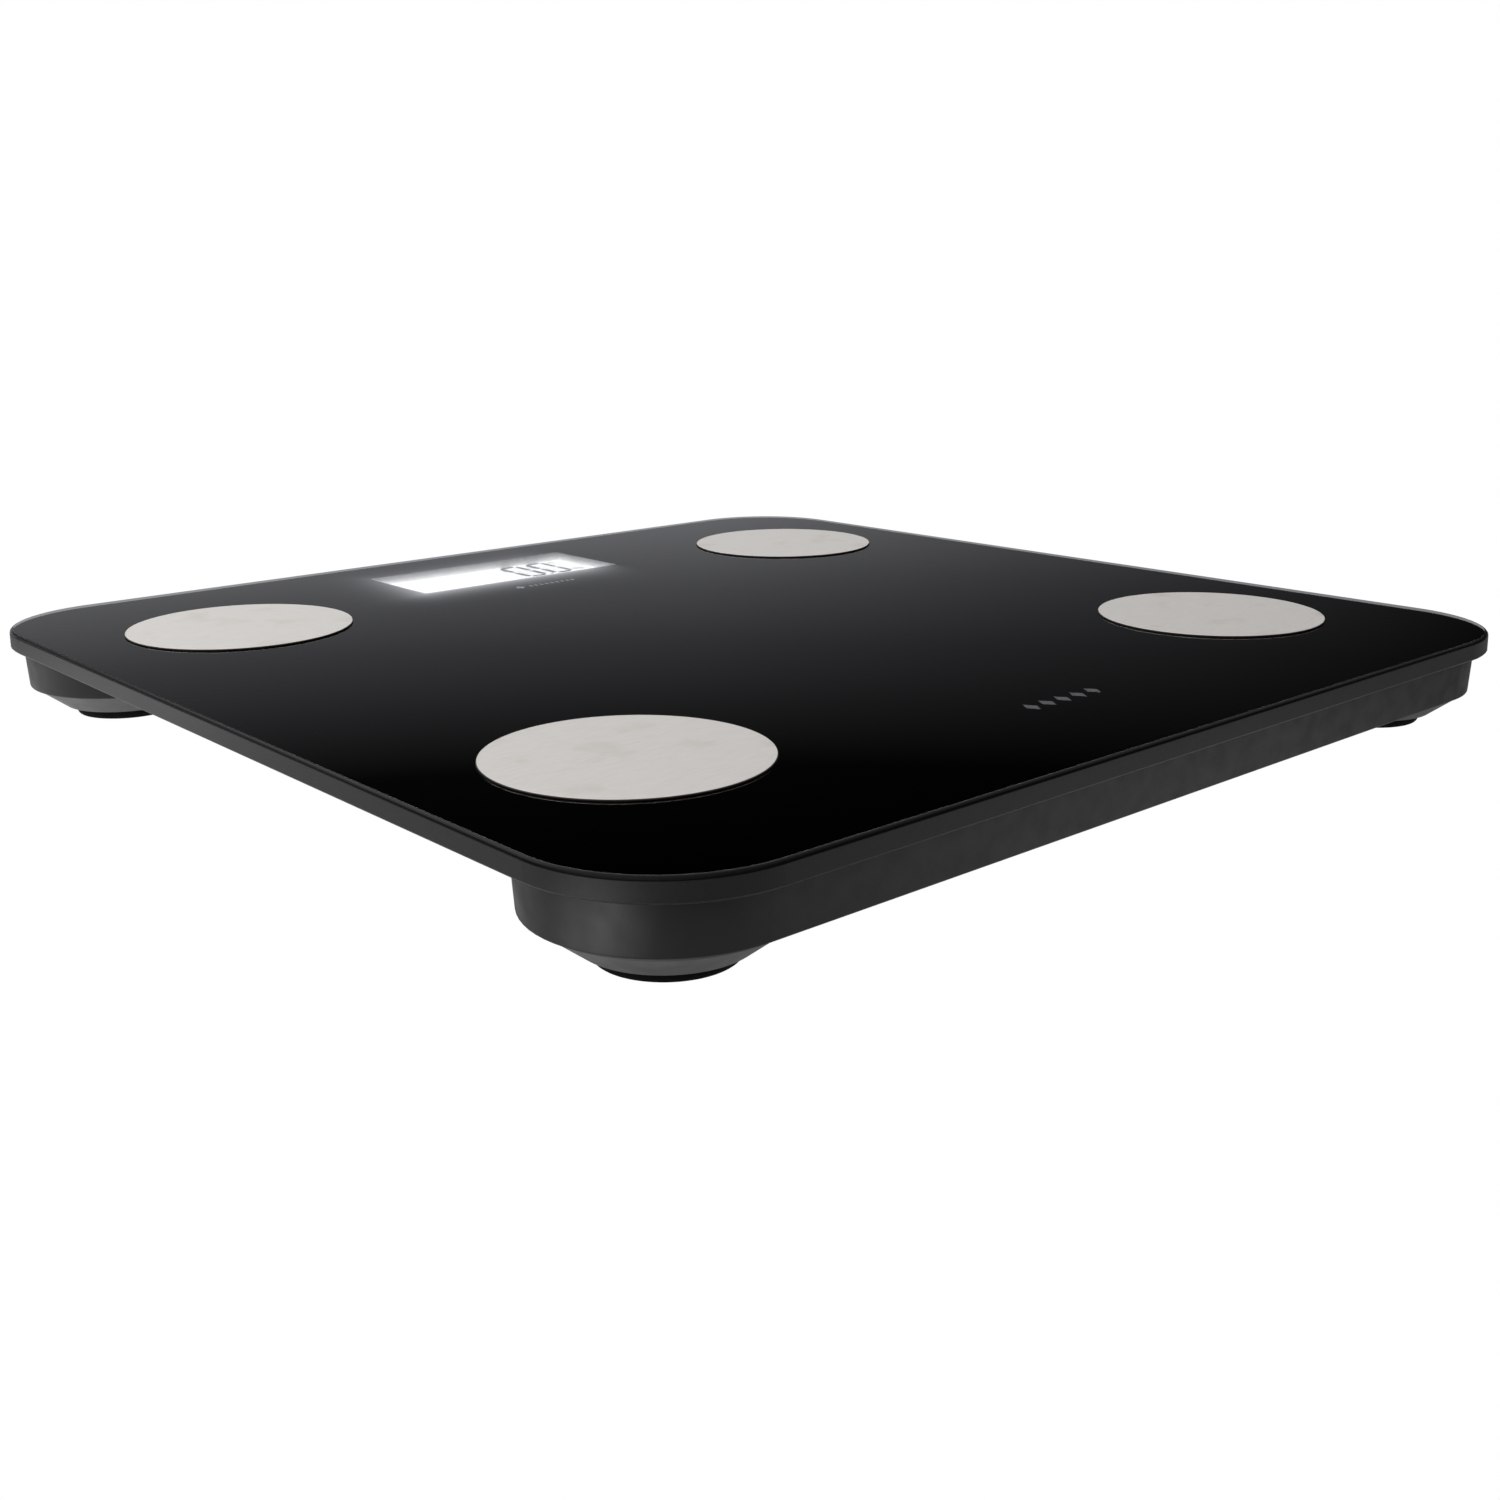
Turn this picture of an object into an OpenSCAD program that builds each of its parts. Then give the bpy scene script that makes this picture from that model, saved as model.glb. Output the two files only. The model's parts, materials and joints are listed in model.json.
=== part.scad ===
// Digital bathroom scale of the body-analysis kind: a square platform of tempered glass, printed black
// on its underside, on two long housing bars with a load-cell foot under each end.
// Origin: on the floor, under the middle of the platform. +X is to the user's right, +Y runs to the
// edge with the display, +Z is up. Millimetres.

/* [Platform] */
// Width and depth of the square glass platform
platform_w = 300; // [300:1:330]
// Radius of the platform's corners
platform_corner_r = 31; // [28:1:35]
// Thickness of the tempered glass
glass_t = 5; // [4:0.5:8]
// Chamfer ground along the glass's edges
glass_chamfer = 0.5; // [0.2:0.1:1]
// Radius of the glass's rounded upper rim
glass_arris = 0.9; // [0.4:0.1:1.5]

/* [Electrodes] */
// Diameter of the steel discs that the user stands on
electrode_d = 60; // [56:1:64]
// Distance of the discs' centres left and right of the middle
electrode_x = 100.7; // [97:0.1:104]
// Distance of the front discs' centres in front of the middle
electrode_front_y = 84.3; // [82:0.1:90]
// Distance of the rear discs' centres behind the middle
electrode_rear_y = 87.6; // [82:0.1:90]

/* [Housing bars] */
// Gap between the floor and the bars
ground_gap = 9; // [9:0.1:10]
// Height of the bars
bar_h = 10.5; // [10.5:0.1:12]
// Depth of the bars, front to back
bar_d = 56; // [56:0.1:57.5]
// Distance of the bars from the edge of the glass
bar_inset = 3.2; // [2.8:0.1:3.6]

/* [Feet] */
// How far each foot can be pressed up into its collar
foot_travel = 0.6; // [0.3:0.1:0.6]
// Radius of each rubber pad where it meets the floor
pad_floor_r = 13.4; // [12:0.1:14]

/* [Display] */
// Width of the clear window in the black print
window_w = 72.4; // [60:0.1:72.4]
// Depth of the clear window in the black print
window_d = 34; // [26:0.1:34]

/* [Controls] */
// How far the unit button can be pressed in
button_travel = 0.3; // [0.2:0.1:0.4]

/* [Hidden] */

$fn = 96;
GAP = 0.2;    // running clearance around what slides or drops in
CUT = 0.1;    // how far a cutting shape runs past what it cuts

// Each corner is the signs of its x and y.
FRONT_LEFT = [-1, -1];
FRONT_RIGHT = [1, -1];
REAR_LEFT = [-1, 1];
REAR_RIGHT = [1, 1];
CORNERS = [FRONT_LEFT, FRONT_RIGHT, REAR_LEFT, REAR_RIGHT];

// Levels above the floor
seal_t = 0.4;
print_t = 0.1;
adhesive_t = 0.1;
electrode_t = 0.4;
bar_z1 = ground_gap + bar_h;
ceiling_z = bar_z1 + seal_t;
glass_z0 = ceiling_z + print_t;
glass_z1 = glass_z0 + glass_t;
electrode_z0 = glass_z1 + adhesive_t;

// Housing bars
bar_wall = 1.8;
bar_floor = 1.8;
bar_draft = 0.7;
bar_edge = 0.6;
bar_r = bar_d / 2;
cavity_r = bar_r - bar_draft - bar_wall;
cavity_z0 = ground_gap + bar_floor;
bar_end = platform_w / 2 - bar_inset - bar_r;

// Feet, each a little further out than the middle of the bar's round end
foot_out = 1.3;
foot_x = bar_end + foot_out;
foot_y = bar_end + foot_out;
pad_r = 14.2;
pad_h = 2;
pad_recess_r = 6;
pad_recess_h = 0.6;
stem_r = 14.2;
flange_r = 18.6;
flange_t = 1.3;
cap_floor = 2;
cap_wall = 1.8;
cap_boss_r = 4;
collar_top_r = 24.4;
collar_low_r = 16.9;
collar_gap = foot_travel + 0.15;
spigot_r = 20;

// Load cells
cell_w = 34;
cell_t = 2;
cell_corner_r = 3;
cell_window = 27;
cell_bar_w = 8;
cell_pad_w = 12;
cell_z0 = ceiling_z - 4.9;
cell_z1 = cell_z0 + cell_t;
gauge_size = [6, 5.6, 0.8];
gauge_y = (cell_pad_w + cell_window) / 4;

// Cell holders
holder_r = 22.5;
holder_plate = 1;
clip_t = 1.2;
clip_play = 0.15;
clip_len = 12;
clip_lip = 0.5;
gauge_slot = 4.4;

// Electrode studs, which pass through the glass into the bars
stud_r = 1.5;
stud_len = 3.3;
stud_x = foot_x - 17.25;
stud_y = foot_y - 20.35;
stud_hole_r = 2.2;
lug_r = 3.1;
lug_t = 0.4;
lug_reach = 5.1;
crimp_w = 1.8;
nut_r = 3.05;
nut_h = 2.4;

// Display
window_y = foot_y - 5.1;
print_margin = 0.3;
lcd_w = 76;
lcd_d = 36.2;
lcd_t = 2.4;
lcd_y = foot_y - 4.25;
lcd_z1 = glass_z0 - 3;
lcd_z0 = lcd_z1 - lcd_t;
frame_ledge = 0.6;
frame_wall = 1.3;
guide_t = 2.4;
guide_z0 = lcd_z0 - guide_t;
reflector_z0 = cavity_z0 + 0.8;
reflector_gap = 0.1;
lamp_size = [1.2, 3, 1.4];
lamp_strip_t = 0.8;
lamp_pitch = 11;
flex_w = 14;
flex_t = 0.2;
flex_lap = 4;

// Main board
board_size = [47, 32, 1.2];
board_x0 = -90;
board_y0 = foot_y - 19.75;
board_z0 = cavity_z0 + 3.6;
board_z1 = board_z0 + board_size.z;
board_hole_inset = 3;
board_hole_r = 1.1;
boss_r = 2.6;
screw_r = 0.9;
screw_len = 3.4;
screw_head_r = 1.9;
screw_head_h = 1.2;
capacitor_r = 2;
capacitor_h = 3.2;
plug_d = 5;
front_plug_w = 13.2;
front_plug_y = board_y0 + 0.6;
rear_plug_y = board_y0 + board_size.y - 0.4;

// Unit button and its switch
button_x = -66;
button_y = foot_y - 3.75;
button_r = 4;
button_play = 0.3;
button_flange_r = 5.2;
button_flange_t = 0.6;
plunger_r = 1.6;
plunger_h = 1.1;
switch_w = 6;
switch_h = 2;
plunger_z0 = board_z0 - switch_h - button_travel - GAP;

// Battery bay
cell_r = 5.25;
battery_len = 44.5;
nub_r = 1.9;
nub_h = 0.8;
battery_pitch = 11.6;
bay_x0 = 42.5;
bay_len = 50;
bay_y = foot_y - 3.75;
bay_d = 35.4;
bay_wall = 1.2;
door_t = 1.6;
door_z1 = ground_gap - GAP;
door_z0 = door_z1 - door_t;
door_x0 = bay_x0 - 2.2;
door_len = bay_len + 3.6;
door_tongue = 1.2;
door_ridge_h = 0.4;
rail_t = 1.6;
rail_lip = 0.6;
rail_y = bay_d / 2 + 0.1 + door_tongue + GAP;
battery_z = door_z1 + 0.1 + cell_r;
plate_t = 0.5;
plate_w = 9;
plate_drop = 4;
plate_z1 = battery_z + 4.45;
tab_w = 3;
tab_h = 2;
tab_len = 1.85;
tab_lap = 0.2;

// Leads and the duct that carries them under the glass
lead_r = 0.45;
lead_pitch = 1.2;
low_lead_z = cell_z1 - 0.8;
lead_z = cell_z1 + 0.5;
high_lead_z = cell_z1 + 1.6;
plug_h = high_lead_z + 0.4 - board_z1;
duct_x = button_x;
duct_w = 13.4;
duct_h = 4.5;
duct_wall = 1;
duct_lap = 1.6;

// Leads in the rear bar, each as [x where it turns, distance behind the bar's middle, x at the board]
left_cell_lane = [-98, 15.25, -79.6];
right_cell_lane = [97, 20.85, -69.4];
left_electrode_lane = [-94, 13.45, -82.6];
right_electrode_lane = [94.6, 18.45, -65.6];
plus_lane = [bay_x0 + tab_lap - tab_len - 0.45, 17.25, -57.9];
minus_lane = [bay_x0 + bay_len - tab_lap + tab_len + 0.45, 16.05, -56.7];

// ---- Helpers ----

// Points on an arc about c, from angle a0 to a1
function arc(c, r, a0, a1, n = 8) = [for (i = [0 : n])
  let (a = a0 + (a1 - a0) * i / n)
  c + r * [cos(a), sin(a)]];

// A half profile from the axis out to radius r, with both rims chamfered
function disc_profile(r, h, c) = [[0, 0], [r - c, 0], [r, c], [r, h - c], [r - c, h], [0, h]];

// The glass's half profile at its corners, with a chamfer below and a rounded rim above
function glass_profile(r) = concat(
  [[0, 0], [r - glass_chamfer, 0], [r, glass_chamfer]],
  arc([r - glass_arris, glass_t - glass_arris], glass_arris, 0, 90, 5), [[0, glass_t]]);

// A profile and its mirror image as one outline
function both_sides(p) = concat(p, [for (i = [len(p) - 1 : -1 : 0]) [-p[i].x, p[i].y]]);

function unit(v) = v / norm(v);
function left_of(v) = [-v.y, v.x];

// A right-angled route moved sideways by d, with its corners kept square
function side_route(p, d) = [for (i = [0 : len(p) - 1])
  let (a = unit(p[max(i, 1)] - p[max(i, 1) - 1]),
       b = unit(p[min(i + 1, len(p) - 1)] - p[min(i, len(p) - 2)]))
  p[i] + d * (i == 0 || i == len(p) - 1 ? left_of(i == 0 ? b : a) : left_of(a) + left_of(b))];

module at_foot(c) { translate([c.x * foot_x, c.y * foot_y, 0]) children(); }
module at_stud(c) { translate([c.x * stud_x, c.y * stud_y, 0]) children(); }
module at_electrode(c) {
  translate([c.x * electrode_x, c.y < 0 ? -electrode_front_y : electrode_rear_y, 0]) children();
}

module rounded_square(w, d, r) {
  square([w - 2 * r, d], center = true);
  square([w, d - 2 * r], center = true);
  for (sx = [-1, 1], sy = [-1, 1]) translate([sx * (w / 2 - r), sy * (d / 2 - r)]) circle(r);
}

module stadium(straight, r) {
  square([straight, 2 * r], center = true);
  for (s = [-1, 1]) translate([s * straight / 2, 0]) circle(r);
}

// A square slab with round corners, whose rim follows the half profile p, drawn at radius r
module profiled_slab(w, r, p) {
  inner = w - 2 * r;
  h = p[len(p) - 1].y;
  for (a = [0 : 90 : 270]) rotate([0, 0, a]) {
    translate([inner / 2, inner / 2, 0]) rotate_extrude(angle = 90) polygon(p);
    translate([inner / 2, inner / 2, 0]) rotate([90, 0, 0]) linear_extrude(inner) polygon(p);
  }
  translate([-inner / 2, -inner / 2, 0]) cube([inner, inner, h]);
}

// A long bar with half-round ends, whose rim follows the half profile p
module profiled_bar(straight, p) {
  for (s = [0, 1]) rotate([0, 0, 180 * s]) translate([straight / 2, 0, 0])
    rotate([0, 0, -90]) rotate_extrude(angle = 180) polygon(p);
  rotate([90, 0, 90]) translate([0, 0, -straight / 2]) linear_extrude(straight) polygon(both_sides(p));
}

// One insulated lead along a route of right angles at height z
module lead(route, z) {
  for (i = [0 : len(route) - 2]) {
    run = route[i + 1] - route[i];
    translate([route[i].x, route[i].y, z]) rotate([0, 90, atan2(run.y, run.x)])
      cylinder(r = lead_r, h = norm(run), $fn = 24);
  }
  for (i = [1 : len(route) - 2]) translate([route[i].x, route[i].y, z]) sphere(lead_r, $fn = 24);
}

module lead_group(route, z, count) {
  for (k = [0 : count - 1]) lead(side_route(route, (k - (count - 1) / 2) * lead_pitch), z);
}

// ---- Platform ----

module glass_platform() {
  color([0.05, 0.06, 0.06, 0.6]) difference() {
    translate([0, 0, glass_z0])
      profiled_slab(platform_w, platform_corner_r, glass_profile(platform_corner_r));
    for (c = CORNERS) at_stud(c) translate([0, 0, glass_z0 - CUT])
      cylinder(r = stud_hole_r, h = glass_t + 2 * CUT);
  }
}

module back_print() {
  inset = glass_chamfer + print_margin;
  color("black") translate([0, 0, ceiling_z]) linear_extrude(print_t) difference() {
    rounded_square(platform_w - 2 * inset, platform_w - 2 * inset, platform_corner_r - inset);
    translate([0, window_y]) rounded_square(window_w, window_d, 1);
    for (c = CORNERS) at_stud(c) circle(stud_hole_r);
  }
}

// A steel disc with a stud welded under it for its lead
module electrode(c) {
  color("silver") {
    at_electrode(c) translate([0, 0, electrode_z0]) rotate_extrude($fn = 180)
      polygon([[0, 0], [electrode_d / 2, 0], [electrode_d / 2, electrode_t / 2],
               [electrode_d / 2 - electrode_t / 2, electrode_t], [0, electrode_t]]);
    at_stud(c) translate([0, 0, ceiling_z - stud_len])
      cylinder(r = stud_r, h = electrode_z0 - ceiling_z + stud_len + electrode_t / 2, $fn = 48);
  }
}

module electrode_adhesive() {
  color("dimgray") for (c = CORNERS) translate([0, 0, glass_z1]) linear_extrude(adhesive_t) difference() {
    at_electrode(c) circle(electrode_d / 2 - electrode_t);
    at_stud(c) circle(stud_hole_r);
  }
}

// A ring lug on each stud, with the block that its lead is crimped in
module electrode_terminals() {
  color("gold") for (c = CORNERS) at_stud(c) mirror([c.x < 0 ? 1 : 0, 0, 0]) difference() {
    union() {
      translate([0, 0, ceiling_z - lug_t]) cylinder(r = lug_r, h = lug_t);
      translate([-lug_reach, -crimp_w / 2, ceiling_z - lug_t]) cube([lug_reach, crimp_w, lug_t]);
      translate([-lug_reach, -crimp_w / 2, high_lead_z - 0.8])
        cube([crimp_w, crimp_w, ceiling_z - high_lead_z + 0.8]);
    }
    translate([0, 0, ceiling_z - lug_t - CUT]) cylinder(r = stud_r, h = lug_t + 2 * CUT);
  }
}

module electrode_nuts() {
  color("silver") for (c = CORNERS) at_stud(c) translate([0, 0, ceiling_z - lug_t - nut_h]) difference() {
    cylinder(r = nut_r, h = nut_h, $fn = 6);
    translate([0, 0, -CUT]) cylinder(r = stud_r, h = nut_h + 2 * CUT);
  }
}

// ---- Housing bars ----

module bar_notch(side) {
  y0 = (side > 0 ? bar_end - bar_r : cavity_r - bar_end) - CUT;
  translate([duct_x - duct_w / 2 - GAP, y0, ceiling_z - duct_h - GAP])
    cube([duct_w + 2 * GAP, bar_r - cavity_r + 2 * CUT, duct_h + 2 * GAP]);
}

// The open-topped shell that both bars share: half-round ends, a hole for each collar, a notch for the duct
module bar_shell(side) {
  x = bar_r - bar_draft - bar_edge;
  p = concat([[0, 0], [x, 0]], arc([x, bar_edge], bar_edge, -60, 0, 4), [[bar_r, bar_h], [0, bar_h]]);
  difference() {
    translate([0, side * bar_end, ground_gap]) profiled_bar(2 * bar_end, p);
    translate([0, side * bar_end, cavity_z0]) linear_extrude(bar_h) stadium(2 * bar_end, cavity_r);
    for (s = [-1, 1]) translate([s * foot_x, side * foot_y, ground_gap - CUT])
      cylinder(r = spigot_r, h = bar_floor + 2 * CUT);
    bar_notch(side);
  }
}

module front_bar() {
  rib_t = 1.4;
  rib_h = 3;
  color("dimgray") {
    bar_shell(-1);
    for (x = [-60 : 40 : 60]) translate([x - rib_t / 2, -bar_end - cavity_r - CUT, cavity_z0 - CUT])
      cube([rib_t, 2 * (cavity_r + CUT), rib_h + CUT]);
  }
}

module board_bosses() {
  for (p = board_holes()) translate([p.x, p.y, cavity_z0 - CUT]) difference() {
    cylinder(r = boss_r, h = board_z0 - cavity_z0 + CUT);
    translate([0, 0, 1]) cylinder(r = screw_r, h = board_z0 - cavity_z0 + CUT);
  }
}

module bay_walls() {
  translate([bay_x0 - bay_wall, bay_y - bay_d / 2 - bay_wall, ground_gap])
    cube([bay_len + 2 * bay_wall, bay_d + 2 * bay_wall, bar_h]);
}

// Grooved rails under the bay, which the door slides in, and the stop at their end
module door_rails() {
  x0 = bay_x0 - bay_wall;
  stop_x = door_x0 + door_len + GAP;
  len = stop_x + bay_wall - x0;
  for (s = [-1, 1]) translate([x0, bay_y + s * rail_y - (s < 0 ? rail_t : 0), door_z0]) {
    cube([len, rail_t, ground_gap - door_z0 + CUT]);
    translate([0, s < 0 ? 0 : -door_tongue, 0]) cube([len, rail_t + door_tongue, rail_lip]);
  }
  translate([stop_x, bay_y - rail_y - rail_t, door_z0])
    cube([bay_wall, 2 * (rail_y + rail_t), ground_gap - door_z0 + CUT]);
}

// Two rails on the bar's floor that the display's reflector rests on
module display_rests() {
  for (dy = [-12.5, 11.5]) translate([-34, lcd_y + dy - 1, cavity_z0 - CUT])
    cube([68, 2, reflector_z0 - cavity_z0 + CUT]);
}

// A hole in a bay wall at x, for the tab of a contact plate
module tab_hole(x, y, z) {
  translate([x - CUT, y - tab_w / 2 - GAP, z - tab_h / 2 - GAP])
    cube([bay_wall + 2 * CUT, tab_w + 2 * GAP, tab_h + 2 * GAP]);
}

module rear_bar() {
  color("dimgray") difference() {
    union() {
      bar_shell(1);
      bay_walls();
      board_bosses();
      door_rails();
      display_rests();
    }
    translate([bay_x0, bay_y - bay_d / 2, ground_gap - CUT]) cube([bay_len, bay_d, bar_h + 2 * CUT]);
    tab_hole(bay_x0 - bay_wall, bay_y - battery_pitch, low_lead_z);
    tab_hole(bay_x0 + bay_len, bay_y + battery_pitch, lead_z);
    translate([button_x, button_y, ground_gap - CUT])
      cylinder(r = button_r + button_play, h = bar_floor + 2 * CUT);
  }
}

// Foam tape between a bar's rim and the glass
module bar_seal(side) {
  color("black") difference() {
    translate([0, side * bar_end, bar_z1]) linear_extrude(seal_t) difference() {
      stadium(2 * bar_end, bar_r - 0.4);
      stadium(2 * bar_end, cavity_r);
    }
    bar_notch(side);
  }
}

// ---- Feet and load cells ----

// The fixed ring that flares from the bar's underside down to just above the pad
module foot_collar(c) {
  z0 = pad_h + collar_gap;
  bore_r = stem_r + 0.3;
  color("gray") at_foot(c) rotate_extrude() polygon([
    [bore_r, z0], [collar_low_r, z0], [collar_top_r - 0.3, ground_gap - 0.7], [collar_top_r, ground_gap],
    [spigot_r, ground_gap], [spigot_r, cavity_z0], [bore_r, cavity_z0]]);
}

// The plastic cap that carries the pad, held in the collar by its flange, with a boss under the load cell
module foot_cap(c) {
  flange_z0 = cavity_z0 + 0.1;
  flange_z1 = flange_z0 + flange_t;
  bore_r = stem_r - cap_wall;
  boss_z1 = cell_z0 - foot_travel - 0.1;
  rib_t = 1.6;
  rib_h = 6;
  color("darkgray") at_foot(c) {
    rotate_extrude() polygon([
      [0, pad_h], [stem_r, pad_h], [stem_r, flange_z0], [flange_r, flange_z0], [flange_r, flange_z1],
      [bore_r, flange_z1], [bore_r, pad_h + cap_floor], [cap_boss_r, pad_h + cap_floor],
      [cap_boss_r, boss_z1 - 1], [cap_boss_r - 1, boss_z1], [0, boss_z1]]);
    for (a = [0, 90]) rotate([0, 0, a]) translate([1 - stem_r, -rib_t / 2, pad_h + 1])
      cube([2 * stem_r - 2, rib_t, rib_h]);
  }
}

module foot_pad(c) {
  recess = [[0, pad_recess_h], [pad_recess_r, pad_recess_h], [pad_recess_r + pad_recess_h, 0]];
  rim = [for (a = [0 : 11.25 : 90]) [pad_floor_r + (pad_r - pad_floor_r) * sin(a), pad_h * (1 - cos(a))]];
  color("black") at_foot(c) rotate_extrude() polygon(concat(recess, rim, [[0, pad_h]]));
}

// A steel plate whose middle hangs on one bar, which bends as the foot's boss pushes up
module load_cell(c) {
  color("lightsteelblue") at_foot(c) translate([0, 0, cell_z0]) linear_extrude(cell_t) {
    difference() {
      rounded_square(cell_w, cell_w, cell_corner_r);
      square(cell_window, center = true);
    }
    square(cell_pad_w, center = true);
    translate([-cell_bar_w / 2, c.y > 0 ? 0 : -cell_window / 2 - 1])
      square([cell_bar_w, cell_window / 2 + 1]);
  }
}

// The bracket that bears on the glass and grips the load cell's frame
module cell_holder(c) {
  frame_z1 = ceiling_z - holder_plate;
  color("whitesmoke") at_foot(c) difference() {
    union() {
      translate([0, 0, frame_z1]) cylinder(r = holder_r, h = holder_plate);
      translate([0, 0, cell_z1]) linear_extrude(frame_z1 - cell_z1 + CUT) difference() {
        rounded_square(cell_w, cell_w, cell_corner_r);
        square(cell_window, center = true);
      }
      for (s = [0, 1]) mirror([s, 0, 0])
        translate([cell_w / 2 + clip_play, -clip_len / 2, cell_z0 - clip_lip - CUT]) {
          cube([clip_t, clip_len, frame_z1 - cell_z0 + clip_lip + 2 * CUT]);
          translate([-clip_t, 0, 0]) cube([2 * clip_t, clip_len, clip_lip]);
        }
    }
    translate([-cell_w, c.y * gauge_y - gauge_slot / 2, cell_z1 - CUT])
      cube([2 * cell_w, gauge_slot, gauge_size.z + 0.6]);
  }
}

module strain_gauges() {
  color("white") for (c = CORNERS) at_foot(c)
    translate([-gauge_size.x / 2, c.y * gauge_y - gauge_size.y / 2, cell_z1]) cube(gauge_size);
}

// ---- Display ----

// The white box that holds the LCD below the window and keeps stray light out
module light_frame() {
  w = lcd_w + 3;
  y0 = lcd_y - lcd_d / 2 - frame_wall;
  y1 = lcd_y + lcd_d / 2 + frame_wall;
  color("white") difference() {
    translate([-w / 2, y0, reflector_z0]) cube([w, y1 - y0, ceiling_z - reflector_z0]);
    translate([-lcd_w / 2 - 0.1, lcd_y - lcd_d / 2 - 0.1, reflector_z0 - CUT])
      cube([lcd_w + 0.2, lcd_d + 0.2, lcd_z1 - reflector_z0 + CUT]);
    translate([frame_ledge - lcd_w / 2, lcd_y - lcd_d / 2 + frame_ledge / 2, lcd_z1 - CUT])
      cube([lcd_w - 2 * frame_ledge, lcd_d - 2.5 * frame_ledge, 4]);
    translate([-w / 2 - CUT, lcd_y - flex_w / 2 - 0.5, board_z1 - GAP])
      cube([3, flex_w + 1, flex_t + 2 * GAP]);
  }
}

module lcd_panel() {
  color("aliceblue") translate([-lcd_w / 2, lcd_y - lcd_d / 2, lcd_z0]) cube([lcd_w, lcd_d, lcd_t]);
}

module light_guide() {
  lamp_room = lamp_strip_t + lamp_size.x + GAP;
  color("ivory") translate([lamp_room - lcd_w / 2, lcd_y - lcd_d / 2 + 0.1, guide_z0])
    cube([lcd_w - lamp_room - GAP, lcd_d - 0.2, guide_t]);
}

module reflector() {
  color("white") translate([reflector_gap - lcd_w / 2, lcd_y - lcd_d / 2 + reflector_gap, reflector_z0])
    cube([lcd_w - 2 * reflector_gap, lcd_d - 2 * reflector_gap, guide_z0 - reflector_z0]);
}

// A strip of board with three lamps that shine into the light guide's edge
module led_bar() {
  x = GAP - lcd_w / 2;
  color("khaki") {
    translate([x, lcd_y - lcd_d / 2 + 1, guide_z0]) cube([lamp_strip_t, lcd_d - 2, guide_t - GAP]);
    for (k = [-1, 0, 1])
      translate([x + lamp_strip_t - CUT, lcd_y + k * lamp_pitch - lamp_size.y / 2, guide_z0 + 0.4])
        cube(lamp_size);
  }
}

// The flexible circuit from the board to the LCD's edge
module display_flex() {
  x0 = board_x0 + board_size.x - flex_lap;
  color("orange") translate([x0, lcd_y - flex_w / 2, board_z1]) cube([-lcd_w / 2 - x0, flex_w, flex_t]);
}

// ---- Main board ----

function board_holes() = [for (i = [0, 1], j = [0, 1])
  [board_x0 + board_hole_inset + i * (board_size.x - 2 * board_hole_inset),
   board_y0 + board_hole_inset + j * (board_size.y - 2 * board_hole_inset)]];

module main_board() {
  color("darkgreen") difference() {
    translate([board_x0, board_y0, board_z0]) cube(board_size);
    for (p = board_holes()) translate([p.x, p.y, board_z0 - CUT])
      cylinder(r = board_hole_r, h = board_size.z + 2 * CUT);
  }
}

module on_board(x, y) { translate([board_x0 + x, board_y0 + y, board_z1]) children(); }

module board_chips() {
  color("black") {
    on_board(21, 11) cube([7, 7, 1]);
    on_board(32, 8) cube([5, 6, 1.3]);
  }
}

module wireless_module() {
  color("seagreen") on_board(4.5, 7.5) cube([12, 15, 0.8]);
  color("silver") on_board(5.5, 8.5) translate([0, 0, 0.7]) cube([10, 9, 1.5]);
}

module board_capacitors() {
  color("silver") for (y = [16, 21.5]) on_board(38.5, y) cylinder(r = capacitor_r, h = capacitor_h);
}

// Wire-to-board plugs: one in front for the duct's leads, three behind, each as [left edge, width]
module board_connectors() {
  rear_plugs = [[-84.2, 7.2], [-71.8, 7.4], [-59.5, 4.4]];
  color("ivory") {
    translate([duct_x - front_plug_w / 2, front_plug_y, board_z1]) cube([front_plug_w, plug_d, plug_h]);
    for (p = rear_plugs) translate([p[0], rear_plug_y - plug_d, board_z1]) cube([p[1], plug_d, plug_h]);
  }
}

module board_screws() {
  slot = [2.4, 0.4, 1];
  color("silver") for (p = board_holes()) translate([p.x, p.y, board_z1]) {
    translate([0, 0, -screw_len]) cylinder(r = screw_r, h = screw_len + CUT);
    difference() {
      cylinder(r = screw_head_r, h = screw_head_h);
      for (a = [0, 90]) rotate([0, 0, a]) translate([0, 0, screw_head_h]) cube(slot, center = true);
    }
  }
}

// ---- Unit button ----

module tact_switch() {
  color("black") translate([button_x, button_y, board_z0 - switch_h]) difference() {
    translate([-switch_w / 2, -switch_w / 2, 0]) cube([switch_w, switch_w, switch_h]);
    translate([0, 0, -CUT]) cylinder(r = plunger_r + 0.15, h = switch_h - 0.6 + CUT);
  }
}

module tact_plunger() {
  color("tan") translate([button_x, button_y, plunger_z0]) cylinder(r = plunger_r, h = plunger_h);
}

// The button, set a little into the bar's underside, with a flange that keeps it in and a stalk
module unit_button() {
  face_z = ground_gap + GAP;
  flange_z0 = cavity_z0 + 0.1;
  flange_z1 = flange_z0 + button_flange_t;
  color("gray") translate([button_x, button_y, 0]) rotate_extrude() polygon([
    [0, face_z + 0.4], [button_r - 0.8, face_z], [button_r, face_z], [button_r, flange_z0],
    [button_flange_r, flange_z0], [button_flange_r, flange_z1], [plunger_r, flange_z1],
    [plunger_r, plunger_z0], [0, plunger_z0]]);
}

// ---- Battery ----

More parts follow.
